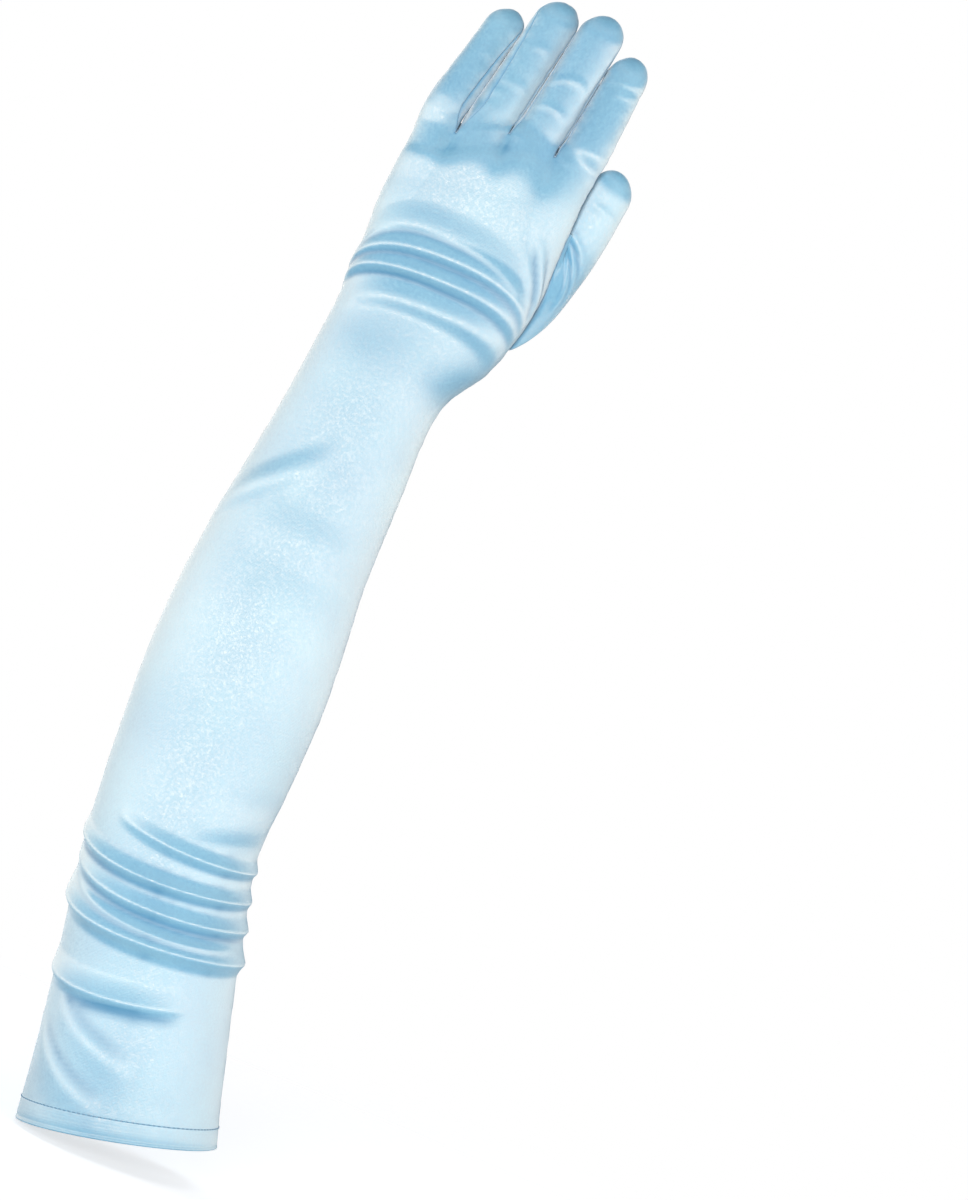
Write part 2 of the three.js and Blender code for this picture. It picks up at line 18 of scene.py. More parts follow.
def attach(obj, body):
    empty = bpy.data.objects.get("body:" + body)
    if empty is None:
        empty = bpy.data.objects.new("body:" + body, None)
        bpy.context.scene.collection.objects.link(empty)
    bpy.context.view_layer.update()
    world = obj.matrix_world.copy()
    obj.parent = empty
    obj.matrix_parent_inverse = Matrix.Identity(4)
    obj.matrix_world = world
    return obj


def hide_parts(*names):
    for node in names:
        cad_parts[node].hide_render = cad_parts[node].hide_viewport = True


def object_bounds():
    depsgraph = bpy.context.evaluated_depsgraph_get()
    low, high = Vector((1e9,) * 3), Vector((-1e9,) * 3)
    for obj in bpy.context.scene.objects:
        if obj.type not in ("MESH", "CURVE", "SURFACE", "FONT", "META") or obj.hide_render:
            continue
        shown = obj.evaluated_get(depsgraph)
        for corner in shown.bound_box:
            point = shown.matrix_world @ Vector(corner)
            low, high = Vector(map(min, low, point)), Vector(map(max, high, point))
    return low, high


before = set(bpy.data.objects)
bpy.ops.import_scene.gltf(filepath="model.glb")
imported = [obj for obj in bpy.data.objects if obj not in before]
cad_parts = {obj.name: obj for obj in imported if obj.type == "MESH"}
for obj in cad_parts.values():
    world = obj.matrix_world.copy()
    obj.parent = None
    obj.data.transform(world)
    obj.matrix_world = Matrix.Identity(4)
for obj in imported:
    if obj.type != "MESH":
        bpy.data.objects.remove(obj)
cad_low, cad_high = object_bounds()
MM = 0.001
print("frame", [round(value, 3) for value in (*cad_low, *cad_high)])

# %% [markdown]
# ## Light and view
#
# The glove leans to the right in the picture, so the camera is level with it, looks at its back and is
# rolled. A long lens far away keeps the sleeve and the fingertips at the same scale.

# %% Camera
PIXEL_MM = 0.4377
PHOTO_HEIGHT = 1200
LEAN = math.radians(21.8)
VIEW_CENTRE = Vector((62.98, 0.0, 276.2)) * MM
VIEW_DISTANCE = 2.4


def add_object(name, data):
    added = bpy.data.objects.new(name, data)
    bpy.context.scene.collection.objects.link(added)
    return added


camera_data = bpy.data.cameras.new("camera")
camera = add_object("camera", camera_data)
camera_data.sensor_width = 36
camera_data.lens = 36 * VIEW_DISTANCE / (PHOTO_HEIGHT * PIXEL_MM * MM)
right = Vector((math.cos(LEAN), 0, math.sin(LEAN)))
up = Vector((-math.sin(LEAN), 0, math.cos(LEAN)))
turned = Matrix((right, up, Vector((0, -1, 0)))).transposed().to_4x4()
camera.matrix_world = Matrix.Translation(VIEW_CENTRE + Vector((0, -VIEW_DISTANCE, 0))) @ turned
camera_data.clip_end = 50
bpy.context.scene.camera = camera
print("lens", round(camera_data.lens, 1), "mm")

# %% [markdown]
# Satin needs a broad light, so one large soft box stands in front of the glove. Weaker ones at the sides,
# behind and above light its edges and its palm side. Only the camera sees a white world: the cloth gets a
# faint blue light from all round.

# %% Studio lights
MIDDLE = (-0.01, 0, 0.26)
for name, place, target, width, height, power in (
    ("front_softbox", (-0.6, -5.8, 0.66), MIDDLE, 1.9, 2.5, 335),
    ("left_softbox", (-4.0, -0.5, 0.40), MIDDLE, 1.0, 1.6, 45),
    ("right_softbox", (4.0, -0.5, 0.40), MIDDLE, 1.0, 1.6, 70),
    ("top_softbox", (0.3, -1.2, 2.2), (0, 0, 0.3), 1.0, 1.0, 7),
    ("back_left_softbox", (-2.6, 4.4, 0.80), MIDDLE, 1.6, 2.2, 40),
    ("back_right_softbox", (2.9, 4.2, 0.60), MIDDLE, 1.6, 2.2, 60),
):
    light = bpy.data.lights.new(name, "AREA")
    light.shape = "RECTANGLE"
    light.size = width
    light.size_y = height
    light.energy = power
    lamp = add_object(name, light)
    lamp.location = place
    lamp.rotation_euler = (Vector(target) - Vector(place)).to_track_quat("-Z", "Y").to_euler()
    print(name, power, "W")
bpy.context.scene.view_settings.view_transform = "Standard"


# %% The world
def fill(tree, node, inputs):
    """Gives each named or numbered input of a node a value or a link."""
    for socket, value in inputs.items():
        if isinstance(value, bpy.types.NodeSocket):
            tree.links.new(value, node.inputs[socket])
        else:
            node.inputs[socket].default_value = value
    return node


def add_node(tree, kind, inputs=None, **settings):
    node = tree.nodes.new(kind)
    for name, value in settings.items():
        setattr(node, name, value)
    return fill(tree, node, inputs or {})


world = bpy.data.worlds.new("studio")
bpy.context.scene.world = world
world.use_nodes = True
sky = world.node_tree
faint = fill(sky, sky.nodes["Background"], {"Color": (0.80, 0.88, 1.0, 1), "Strength": 0.18})
white = add_node(sky, "ShaderNodeBackground", {"Color": (1, 1, 1, 1), "Strength": 1.0})
seen = add_node(sky, "ShaderNodeLightPath").outputs["Is Camera Ray"]
chosen = add_node(sky, "ShaderNodeMixShader", {0: seen, 1: faint.outputs[0], 2: white.outputs[0]})
fill(sky, sky.nodes["World Output"], {"Surface": chosen.outputs[0]})
print("world nodes", len(sky.nodes))

# %% [markdown]
# ## Sizes and tables
#
# The skin of the glove is one curved form. Its sections, fingers and folds stand in short tables, in
# millimetres or as shares of named sizes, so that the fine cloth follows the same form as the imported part.

# %% Named sizes and sections
SLEEVE = 335.0
HAND = 130.0
FORK_LINE = SLEEVE + HAND
BEND = 25.0
HEM_HEIGHT = 9.5
PALM_DEPTH = 32.0
FORK_GAP = 2.0
FORK_PLUMP = 0.66
FORK_DEPTH = 12.0
FINGER_DROOP = 11.0


def table(columns, *rows):
    names = columns.split()
    return [dict(zip(names, row)) for row in rows]


FINGERS = table(
    "name lean droop narrows length width",
    ("little", 0.233, 1.1, 0.96, 57.0, 17.2),
    ("ring", 0.195, 0.9, 0.96, 68.0, 19.8),
    ("middle", 0.168, 0.8, 0.96, 69.5, 20.2),
    ("index", 0.120, 1.0, 0.88, 57.0, 19.4),
)
KNUCKLES = sum(finger["width"] for finger in FINGERS) + 3 * FORK_GAP
FORM = {
    "hem": (89.0, 84.0), "elbow": (78.0, 78.0), "forearm": (82.0, 72.0), "wrist": (63.0, 50.0),
    "palm": (85.0, PALM_DEPTH), "knuckles": (KNUCKLES, PALM_DEPTH),
}
SECTIONS = table(
    "part at side slope follows width depth square",
    ("sleeve", 0.000, 0.00, 12.6, "hem", 1.00, 1.00, 2.0),
    ("sleeve", 0.090, -0.23, 11.5, "hem", 0.94, 0.98, 2.0),
    ("sleeve", 0.190, -0.50, 11.0, "elbow", 1.02, 1.02, 2.0),
    ("sleeve", 0.290, -0.76, 10.5, "elbow", 0.99, 1.00, 2.0),
    ("sleeve", 0.345, -0.90, 8.0, "elbow", 0.97, 0.99, 2.0),
    ("sleeve", 0.400, -0.99, 5.0, "elbow", 0.97, 0.97, 2.0),
    ("sleeve", 0.500, -1.00, 1.0, "forearm", 0.97, 1.015, 2.0),
    ("sleeve", 0.610, -1.00, 0.0, "forearm", 1.00, 0.99, 2.0),
    ("sleeve", 0.710, -1.00, -1.0, "forearm", 0.96, 0.94, 2.0),
    ("sleeve", 0.790, -0.97, -3.0, "forearm", 0.90, 0.86, 2.0),
    ("sleeve", 0.920, -0.82, -4.0, "wrist", 1.06, 1.08, 2.1),
    ("sleeve", 1.000, -0.74, -5.0, "wrist", 1.00, 1.00, 2.1),
    ("hand", 0.140, -0.63, -5.0, "wrist", 1.02, 0.94, 2.1),
    ("hand", 0.270, -0.38, -5.0, "palm", 0.86, 1.34, 2.2),
    ("hand", 0.410, -0.23, -3.0, "palm", 0.93, 1.20, 2.3),
    ("hand", 0.540, -0.15, 0.0, "palm", 0.97, 1.10, 2.4),
    ("hand", 0.680, -0.15, 0.0, "palm", 0.98, 1.00, 2.4),
    ("hand", 0.810, -0.11, 0.0, "palm", 0.97, 0.94, 2.4),
    ("hand", 0.930, -0.07, 0.0, "palm", 0.96, 0.84, 2.4),
    ("hand", 1.000, -0.04, 0.0, "knuckles", 1.00, 0.76, 2.3),
)
print("sections", len(SECTIONS), "knuckles", round(KNUCKLES, 1), "mm")

# %% [markdown]
# The folds lie where slack satin is pushed together: at the elbow, at the wrist and near the hem. Each has
# a crest that runs round the arm, and most have a slow slope above it and a steep drop below it, as cloth
# has that slides down an arm. A fold runs through three turns round the arm, each at its own height. A turn
# of 0 is the thumb side, -90 the middle of the back and 90 the middle of the palm. The last three columns
# are the reach of the slopes above and below, and how softly the crest is rounded. Two more folds run
# along the hand, next to the thumb.

# %% Folds
FOLDS = table(
    "part turns at rise upper lower soft",
    ("sleeve", (-80, -52, -10), (0.415, 0.424, 0.430), 0.9, 14, 9, 12),
    ("sleeve", (-130, -62, 50), (0.400, 0.371, 0.386), 2.3, 6.5, 4.5, 0.5),
    ("sleeve", (-226, -84, 58), (0.410, 0.329, 0.344), 2.7, 6.5, 4.5, 0.5),
    ("sleeve", (-186, -76, 60), (0.352, 0.290, 0.305), 2.5, 6.5, 4.2, 0.5),
    ("sleeve", (-166, -112, -20), (0.322, 0.278, 0.262), 1.3, 4.5, 3.2, 0.5),
    ("sleeve", (-228, -76, 56), (0.340, 0.247, 0.258), 4.0, 10, 6.5, 0.5),
    ("sleeve", (-196, -118, -58), (0.214, 0.177, 0.176), 2.8, 10, 5.5, 0.5),
    ("sleeve", (-166, -133, -98), (0.128, 0.072, 0.028), 1.3, 7, 20, 2.5),
    ("sleeve", (-148, -118, -84), (0.156, 0.118, 0.080), 1.2, 7, 20, 2.5),
    ("sleeve", (40, 100, 168), (0.345, 0.322, 0.350), 2.8, 14, 8, 0.5),
    ("sleeve", (44, 110, 176), (0.292, 0.272, 0.300), 2.8, 14, 8, 0.5),
    ("sleeve", (30, 86, 150), (0.236, 0.222, 0.236), 2.3, 14, 10, 0.5),
    ("sleeve", (-176, -132, -90), (0.800, 0.853, 0.915), 1.6, 14, 12, 12),
    ("sleeve", (-124, -80, -24), (0.806, 0.808, 0.804), 0.7, 16, 14, 12),
    ("hand", (-178, -100, -46), (0.460, 0.632, 0.540), 1.3, 12, 4, 4.0),
    ("hand", (-196, -90, -10), (0.360, 0.560, 0.430), 2.5, 9, 4.5, 3.5),
    ("hand", (-190, -94, -6), (0.330, 0.480, 0.385), 2.6, 10, 5, 3.0),
    ("hand", (-150, -78, -8), (0.300, 0.385, 0.310), 1.7, 11, 8, 4.0),
    ("hand", (-178, -117, -52), (0.850, 0.885, 0.955), 1.2, 7, 14, 12),
    ("hand", (40, 95, 150), (0.330, 0.300, 0.340), 2.6, 12, 9, 12),
    ("hand", (60, 100, 140), (0.180, 0.160, 0.190), 2.2, 12, 9, 12),
)
FOLD_ENDS = 0.7
FOLD_UPPER = 1.3
FOLD_LOWER = 1.9
EVEN_FOLD = 5.0
FOLD_BOUND = 30.0
LONG_FOLDS = table(
    "low low_turn high high_turn rise reach",
    (390.0, -6.0, 432.0, -44.0, 1.5, 6.0),
    (398.0, -24.0, 428.0, -58.0, 0.7, 6.0),
)
print("folds", len(FOLDS) + len(LONG_FOLDS))

# %% [markdown]
# The sleeve and the hand have an oval section at each height, on a smooth curve through the table's rows,
# and the folds are added to it. A lofted curve object would do too, but a function gives every cut of cloth
# the same form, so that their edges meet.


# %% The form of the sleeve and hand
def height_of(part, share):
    return share * SLEEVE if part == "sleeve" else SLEEVE + share * HAND


def mix(a, b, share):
    return a + (b - a) * share


def smooth(value, low, high):
    share = min(1.0, max(0.0, (value - low) / (high - low)))
    return share * share * (3 - 2 * share)


def curve_at(stations, place, key, keys):
    """Values of a smooth curve through stations, which are dictionaries with a place under key."""
    last = len(stations) - 1
    low = 0
    while low < last - 1 and place > stations[low + 1][key]:
        low += 1
    before, start = stations[max(low - 1, 0)], stations[low]
    end, after = stations[low + 1], stations[min(low + 2, last)]
    span = end[key] - start[key]
    share = (place - start[key]) / span
    square, cube = share ** 2, share ** 3
    found = {}
    for name in keys:
        start_tilt = (end[name] - before[name]) / (end[key] - before[key]) * span
        end_tilt = (after[name] - start[name]) / (after[key] - start[key]) * span
        found[name] = (
            (2 * cube - 3 * square + 1) * start[name] + (cube - 2 * square + share) * start_tilt
            + (3 * square - 2 * cube) * end[name] + (cube - square) * end_tilt
        )
    return found


STATIONS = [
    {
        "height": height_of(row["part"], row["at"]), "side": row["side"] * BEND, "slope": row["slope"],
        "half_width": FORM[row["follows"]][0] * row["width"] / 2,
        "half_depth": FORM[row["follows"]][1] * row["depth"] / 2, "square": row["square"],
    }
    for row in SECTIONS
]
known_sections = {}


def section_at(height):
    key = round(height, 4)
    if key not in known_sections:
        keys = ("side", "slope", "half_width", "half_depth", "square")
        known_sections[key] = curve_at(STATIONS, height, "height", keys)
    return known_sections[key]


def through(places, values, place):
    a, b, c = places
    return (
        values[0] * (place - b) * (place - c) / ((a - b) * (a - c))
        + values[1] * (place - a) * (place - c) / ((b - a) * (b - c))
        + values[2] * (place - a) * (place - b) / ((c - a) * (c - b))
    )


for fold in FOLDS:
    fold["heights"] = [height_of(fold["part"], share) for share in fold["at"]]


def ridge_form(fall):
    """The section of a small ridge, from 1 on its crest to 0 at its foot."""
    return (1 - fall) ** 1.5 * (1 + fall)


def folds_at(turn, height):
    total = 0.0
    for fold in FOLDS:
        if not min(fold["heights"]) - FOLD_BOUND < height < max(fold["heights"]) + FOLD_BOUND:
            continue
        first, _, last = fold["turns"]
        for place in (turn, turn - 360):
            share = (place - first) / (last - first)
            if not 0 < share < 1:
                continue
            offset = height - through(fold["turns"], fold["heights"], place)
            reach = fold["upper"] if offset > 0 else fold["lower"]
            soft = fold["soft"]
            fall = (math.hypot(offset, soft) - soft) / (math.hypot(reach, soft) - soft)
            if fall < 1:
                power = FOLD_UPPER if offset > 0 and soft < EVEN_FOLD else FOLD_LOWER
                total += fold["rise"] * math.sin(math.pi * share) ** FOLD_ENDS * (1 - fall) ** power
    for fold in LONG_FOLDS:
        share = (height - fold["low"]) / (fold["high"] - fold["low"])
        if 0 < share < 1:
            crest = mix(fold["low_turn"], fold["high_turn"], share)
            fall = abs(math.radians(turn - crest)) * KNUCKLES / 2 / fold["reach"]
            if fall < 1:
                total += fold["rise"] * math.sin(math.pi * share) * ridge_form(fall)
    return total


def rounded(value, square):
    return math.copysign(abs(value) ** (2 / square), value)


BACK_RISE = table(
    "height more",
    (340, 0.0), (370, 0.2), (388, 0.9), (405, 1.7), (423, 2.6), (438, 3.1), (450, 2.9), (465, 0.6),
)


def back_rise(turn, height):
    """How much further the back of the hand stands out than its palm side."""
    if height <= BACK_RISE[0]["height"] or not -180 < turn < 0:
        return 0.0
    more = curve_at(BACK_RISE, min(height, FORK_LINE), "height", ("more",))["more"]
    return more * math.sin(math.radians(-turn)) ** 0.5


def arm_point(turn, height, raised=0.0):
    section = section_at(height)
    fold = folds_at(turn, height)
    angle = math.radians(turn)
    across = rounded(math.cos(angle), section["square"]) * (section["half_width"] + fold)
    depth = section["half_depth"] + fold + back_rise(turn, height)
    out = rounded(math.sin(angle), section["square"]) * depth
    slope = math.radians(section["slope"])
    return Vector((
        section["side"] + across * math.cos(slope), out, height + across * math.sin(slope) + raised,
    ))


print("hem corner", [round(value, 1) for value in arm_point(180, 0)])

# %% [markdown]
# ## Fingers
#
# Each finger is a rounded tube that droops a little to the palm. Two seams run along it, next to the
# fourchette on its side. Between the little and the ring finger the fourchette is pushed open, so the
# seams lie further onto the back there. Small ridges are the creases over the joints.

# %% The form of the fingers
FORK_HEIGHTS = (-0.34, 0.33, 0.17)
FORK_STRIPS = (1.6, 0.8, 0.7)
STRIPS = table(
    "at strip",
    (0.00, 34), (0.22, 33), (0.38, 31), (0.55, 28), (0.71, 24), (0.84, 18), (0.93, 9), (0.97, 0), (1.00, 0),
)
RIDGES = table(
    "finger at swings rise reach",
    (2, (0.42, 0.52, 0.49), (30, 85, 140), 0.55, 2.6),
    (2, (0.28, 0.31, 0.26), (40, 85, 130), 0.45, 2.4),
    (2, (0.09, 0.05, 0.02), (40, 90, 140), 0.5, 3.5),
    (1, (0.60, 0.66, 0.60), (60, 95, 140), 0.3, 3.0),
    (1, (0.34, 0.38, 0.32), (50, 90, 140), 0.25, 3.0),
    (3, (0.76, 0.78, 0.80), (50, 110, 165), 0.45, 2.2),
    (3, (0.66, 0.68, 0.70), (60, 110, 165), 0.35, 2.2),
    (0, (0.10, 0.07, 0.05), (10, 50, 110), 0.5, 3.0),
    (0, (0.55, 0.60, 0.56), (50, 90, 130), 0.3, 3.0),
)
FINGER_SWELL = 0.25
FINGER_TAPER = 0.34
TIP_ROUND = 0.52
DROOP_BEND = 1.25
ROOT_FLATNESS = 1.0
TIP_FLATNESS = 0.85
RING_TURN = 0.5
ROOT_BLEND = {-1: 0.18, 1: 0.32}
PALM_FORK_RAISE = 6.0
PALM_FORK_REACH = 0.25

edge = section_at(FORK_LINE)["side"] - KNUCKLES / 2
for index, finger in enumerate(FINGERS):
    finger["root"] = edge + finger["width"] / 2
    finger["ridges"] = [ridge for ridge in RIDGES if ridge["finger"] == index]
    edge += finger["width"] + FORK_GAP
FORKS = [finger["root"] + finger["width"] / 2 + FORK_GAP / 2 for finger in FINGERS[:3]]


def strip_angle(at):
    for low, high in zip(STRIPS, STRIPS[1:]):
        if at <= high["at"]:
            return mix(low["strip"], high["strip"], (at - low["at"]) / (high["at"] - low["at"]))
    return 0.0


def seam_swing(index, at, thumb_side, side):
    """Angle of a finger's seam, where 0 is the little finger's side, 90 the back and 270 the palm."""
    fork = index if thumb_side else index - 1
    strip = 0.0
    if 0 <= fork < 3:
        strip = strip_angle(at) * (FORK_STRIPS[fork] if side < 0 else 1.0)
    if side < 0:
        return 180 - strip if thumb_side else strip
    return 180 + strip if thumb_side else 360 - strip


def creases_at(creases, swing, at, length):
    """The rise of small ridges, where swing runs round a finger and at runs along it."""
    total = 0.0
    for crease in creases:
        first, _, last = crease["swings"]
        share = (swing - first) / (last - first)
        if 0 < share < 1:
            offset = at - through(crease["swings"], crease["at"], swing)
            fall = abs(offset) * length / crease["reach"]
            if fall < 1:
                total += crease["rise"] * math.sin(math.pi * share) * ridge_form(fall)
    return total


def tip_cap(at, start):
    """How wide a rounded tip still is, as a share, where the rounding begins at start."""
    return math.sqrt(max(0.0, 1 - ((at - start) / (1 - start)) ** 2)) if at > start else 1.0


def finger_point(index, at, swing):
    finger = FINGERS[index]
    plump = FORK_PLUMP + FINGER_SWELL * smooth(at, 0.0, 0.08) - FINGER_TAPER * smooth(at, 0.12, 0.75)
    width = finger["width"] + 2 * plump
    cap = tip_cap(at, 1 - width * TIP_ROUND / finger["length"])
    ridge = creases_at(finger["ridges"], swing % 360, at, finger["length"])
    half_width = width / 2 * mix(1, finger["narrows"], at) * cap + ridge
    half_depth = half_width * mix(ROOT_FLATNESS, TIP_FLATNESS, at)
    lean = math.atan(finger["lean"])
    across = -math.cos(math.radians(swing)) * half_width
    return Vector((
        finger["root"] + finger["lean"] * finger["length"] * at + across * math.cos(lean),
        finger["droop"] * FINGER_DROOP * at ** DROOP_BEND - math.sin(math.radians(swing)) * half_depth,
        FORK_LINE + at * finger["length"] - across * math.sin(lean) * RING_TURN,
    ))


print("middle fingertip", [round(value, 1) for value in finger_point(2, 1.0, 90)])

# %% [markdown]
# ## The panels
#
# A panel is a flat cut of cloth laid over the form. A grid primitive is that flat cut: its columns run
# up the sleeve and into the fingers and its rows run round the arm. Each of its points is laid on the form.
# The columns stand closer next to the seams and the rows stand closer in the folds, because an evenly
# subdivided form would miss the narrow folds.


# %% Working by hand
WELD = 0.004


def pick_nothing():
    if bpy.context.mode != "OBJECT":
        bpy.ops.object.mode_set(mode="OBJECT")
    bpy.ops.object.select_all(action="DESELECT")


def work_on(piece):
    pick_nothing()
    piece.select_set(True)
    bpy.context.view_layer.objects.active = piece


def start_editing(piece, what, action):
    """Opens a piece for editing, with all or none of its points, edges or faces selected."""
    work_on(piece)
    bpy.ops.object.mode_set(mode="EDIT")
    bpy.context.tool_settings.mesh_select_mode = [kind == what for kind in ("points", "edges", "faces")]
    bpy.ops.mesh.select_all(action=action)


def stop_editing():
    bpy.ops.object.mode_set(mode="OBJECT")


def lay_cloth(name, columns, rows, place, flat, keep=None, across=None, along=None):
    """Adds a flat grid of cloth and lays its points on the form; place gives millimetres."""
    pick_nothing()
    bpy.ops.mesh.primitive_grid_add(x_subdivisions=columns, y_subdivisions=rows, size=1.0)
    cloth = bpy.context.object
    cloth.name = name
    mesh = cloth.data
    spots = [
        (round((vertex.co.x + 0.5) * columns), round((vertex.co.y + 0.5) * rows)) for vertex in mesh.vertices
    ]
    for vertex, spot in zip(mesh.vertices, spots):
        vertex.co = place(*spot) * MM
    for corner in mesh.uv_layers.active.data:
        column, row = round(corner.uv[0] * columns), round(corner.uv[1] * rows)
        corner.uv = (
            (across[column] if across else column / columns) * flat[0],
            (along[row] if along else row / rows) * flat[1],
        )
    if keep is not None:
        start_editing(cloth, "faces", "DESELECT")
        stop_editing()
        for face in mesh.polygons:
            column = min(spots[number][0] for number in face.vertices)
            row = min(spots[number][1] for number in face.vertices)
            face.select = not keep(column, row)
        bpy.ops.object.mode_set(mode="EDIT")
        bpy.ops.mesh.delete(type="FACE")
        stop_editing()
    return cloth


def turn_outwards(cloth, middle_of):
    """Flips the cloth if its faces look towards the middle of the glove."""
    facing = 0.0
    for face in cloth.data.polygons:
        facing += face.normal.dot(face.center - middle_of(face.center)) * face.area
    if facing < 0:
        start_editing(cloth, "faces", "SELECT")
        bpy.ops.mesh.flip_normals()
        stop_editing()


def sew(name, parts):
    """Joins the parts of one cut of cloth and welds them where they meet."""
    work_on(parts[0])
    for part in parts:
        part.select_set(True)
    if len(parts) > 1:
        bpy.ops.object.join()
    piece = bpy.context.object
    piece.name = name
    piece.data.name = name
    start_editing(piece, "points", "SELECT")
    bpy.ops.mesh.remove_doubles(threshold=WELD * MM)
    stop_editing()
    return piece


def lay_tube(name, columns, rows, place, flat, middle_of):
    """Lays one cut of cloth, and welds its long edges where they meet."""
    cloth = lay_cloth(name, columns, rows, place, flat)
    turn_outwards(cloth, middle_of)
    return sew(name, [cloth])


def give_wall(piece, thickness, inside=0):
    """Thickens the cloth inwards; inside is the place of its inner material in the list."""
    work_on(piece)
    wall = piece.modifiers.new("wall", "SOLIDIFY")
    wall.thickness = thickness * MM
    wall.offset = -1
    wall.material_offset = inside
    wall.material_offset_rim = 0
    bpy.ops.object.modifier_apply(modifier="wall")
    bpy.ops.object.shade_smooth()


# %% Rows and columns
ROW_BANDS = table(
    "upto step",
    (56.0, 2.0), (138.0, 0.92), (262.0, 2.4), (310.0, 1.5), (372.0, 1.5), (424.0, 0.95), (460.0, 1.15),
    (FORK_LINE, 0.6),
)
heights = [HEM_HEIGHT, HEM_HEIGHT + 0.15, HEM_HEIGHT + 0.5]
for band in ROW_BANDS:
    start = heights[-1]
    count = max(1, round((band["upto"] - start) / band["step"]))
    heights += [mix(start, band["upto"], number / count) for number in range(1, count + 1)]
LAST_ROW = len(heights) - 1


def seam_shares(quads):
    """Shares of a strip's width, closer together at both of its seams."""
    edge_shares = [0.0, 0.014, 0.034, 0.062, 0.100]
    middle = quads - 8
    inner = [mix(0.1, 0.9, number / middle) for number in range(1, middle)]
    return edge_shares + inner + [1 - share for share in reversed(edge_shares)]


FINGER_ROWS = (
    [0.0, 0.008, 0.02, 0.036, 0.056] + [0.056 + 0.0201 * number for number in range(1, 41)]
    + [0.88, 0.90, 0.918, 0.934, 0.948, 0.961, 0.973, 0.983, 0.991, 0.997, 1.0]
)
print("rows", len(heights), "on a finger", len(FINGER_ROWS))

# %% [markdown]
# Both panels share one way from a column and a row to a place. Low on the sleeve the columns are spread
# evenly. In the hand they gather to the fingers, and in a fork the cloth sinks between two knuckles.

# %% A place on either panel
SPREAD_FROM = SLEEVE + 0.50 * HAND
SPREAD_TO = SLEEVE + 0.93 * HAND
SINK_FROM = SLEEVE + 0.75 * HAND
FORK_SINK = 0.30
FORK_GROOVE = 5.0


def knuckle_turn(place):
    """The turn at which a place across the knuckles lies on the hand's section there."""
    section = section_at(FORK_LINE)
    share = (place - section["side"]) / section["half_width"]
    return math.degrees(math.acos(math.copysign(abs(share) ** (section["square"] / 2), share)))


class Panel:
    """The back panel, with side -1, or the palm panel, with side 1."""

    def __init__(self, side, quads, opening=None):
        self.side = side
        self.quads = quads
        self.shares = seam_shares(quads)
        self.columns = 4 * (quads + 1)
        self.edge_column = self.columns - 1 - quads
        self.opening = opening
        self.fork_turns = []
        self.spread = []
        for index, finger in enumerate(FINGERS):
            half = finger["width"] / 2 + FORK_PLUMP
            first = knuckle_turn(finger["root"] - half) if index > 0 else 180.0
            last = knuckle_turn(finger["root"] + half) if index < 3 else 0.0
            self.fork_turns += [mix(first, last, share) for share in self.shares]
            self.spread += [(index + 0.008 + 0.984 * share) / 4 for share in self.shares]
        low, high = self.spread[0], self.spread[-1]
        self.spread = [(value - low) / (high - low) for value in self.spread]

    def raised(self, column):
        index, place = divmod(column, self.quads + 1)
        before = FORK_HEIGHTS[max(index - 1, 0)]
        after = FORK_HEIGHTS[index] if index < 3 else FORK_HEIGHTS[2] - 0.2
        raised = mix(before, after, self.shares[place]) * FORK_DEPTH
        if self.side > 0:
            nearest = min(self.shares[place] if index > 0 else 1, 1 - self.shares[place] if index < 3 else 1)
            raised += PALM_FORK_RAISE * math.exp(-((nearest / PALM_FORK_REACH) ** 2))
        return raised

    def even_turn(self, column, height):
        into_hand = smooth(height, SPREAD_FROM, SPREAD_TO)
        return mix(180 * (1 - self.spread[column]), self.fork_turns[column], into_hand)

    def turn(self, column, height):
        turn = self.even_turn(column, height)
        if self.opening is None:
            return turn
        edge = self.even_turn(self.edge_column, height)
        moved = edge * self.opening(height)
        if column >= self.edge_column:
            return turn * moved / edge
        return 180 - (180 - turn) * (180 - moved) / (180 - edge)

    def arm(self, column, row):
        height = heights[row]
        near = smooth(height, SINK_FROM, FORK_LINE)
        point = arm_point(self.side * self.turn(column, height), height, self.raised(column) * near)
        if near > 0:
            away = min(abs(point.x - fork) for fork in FORKS)
            point.y *= 1 - FORK_SINK * near ** 3 * math.exp(-((away / FORK_GROOVE) ** 2))
        return point

    def carried_on(self, column, beyond):
        """A point that goes on from the hand's last rows in their own direction."""
        last, before = self.arm(column, LAST_ROW), self.arm(column, LAST_ROW - 1)
        return last + (last - before) * (beyond / (heights[LAST_ROW] - heights[LAST_ROW - 1]))

    def finger(self, index, place, row):
        at = FINGER_ROWS[row]
        root = self.carried_on(index * (self.quads + 1) + place, at * FINGERS[index]["length"])
        first = seam_swing(index, at, False, self.side)
        last = seam_swing(index, at, True, self.side)
        reached = finger_point(index, at, mix(first, last, self.shares[place]))
        return root.lerp(reached, smooth(at, 0, ROOT_BLEND[self.side]))


# %% [markdown]
# The back panel is one cut for the back of the sleeve, the hand and all four fingers. The sleeve and each
# finger are laid as grids of their own, and the rows where they meet are then welded.


# %% The back panel
def sleeve_middle(place):
    section = section_at(min(max(place.z / MM, 0), FORK_LINE))
    return Vector((section["side"] * MM, 0, place.z))


def finger_middle(index, place):
    at = min(max((place.z / MM - FORK_LINE) / FINGERS[index]["length"], 0), 1)
    low, high = finger_point(index, at, 90), finger_point(index, at, 270)
    return Vector(((low.x + high.x) / 2 * MM, (low.y + high.y) / 2 * MM, place.z))


